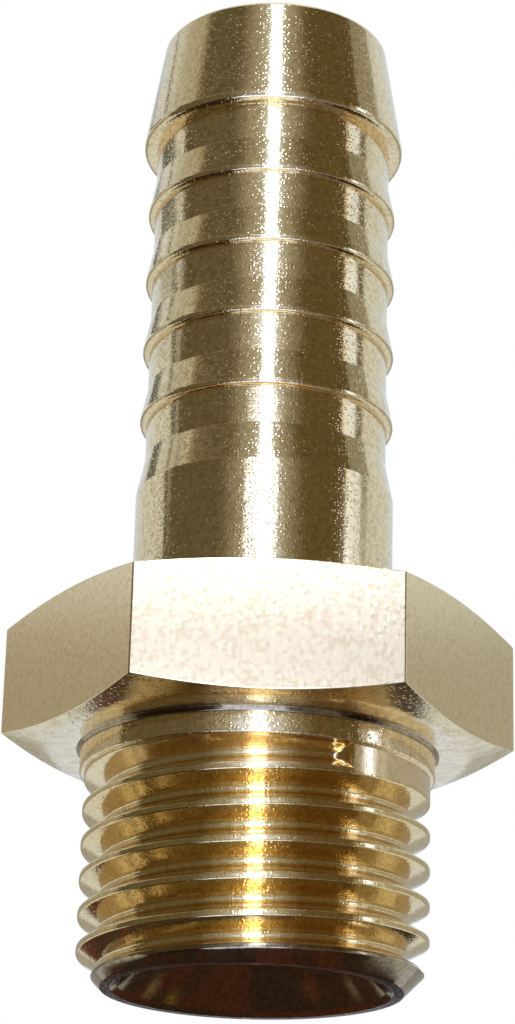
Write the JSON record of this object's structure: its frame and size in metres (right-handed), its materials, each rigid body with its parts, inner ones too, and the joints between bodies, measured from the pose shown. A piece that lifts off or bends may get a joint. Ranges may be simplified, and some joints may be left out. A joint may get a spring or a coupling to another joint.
{
  "type": "hose nipple",
  "caption": "Turned brass hose nipple: barbed hose tail, spanner hexagon and parallel pipe thread around one straight passage.",
  "frame": {"origin": "centre of the flat face at the thread end, on the axis of the part", "axes": "+Z along the axis from the thread end to the tip of the hose tail; the hexagon has flats facing -Y and +Y and corners on the X axis"},
  "size_m": [0.0196, 0.017, 0.0392],
  "materials": {
    "turned_brass": "bright turned brass with fine tool lines, duller drawn hexagon flats"
  },
  "bodies": {
    "root": {"hose_nipple": "turned_brass"}
  },
  "joints": []
}
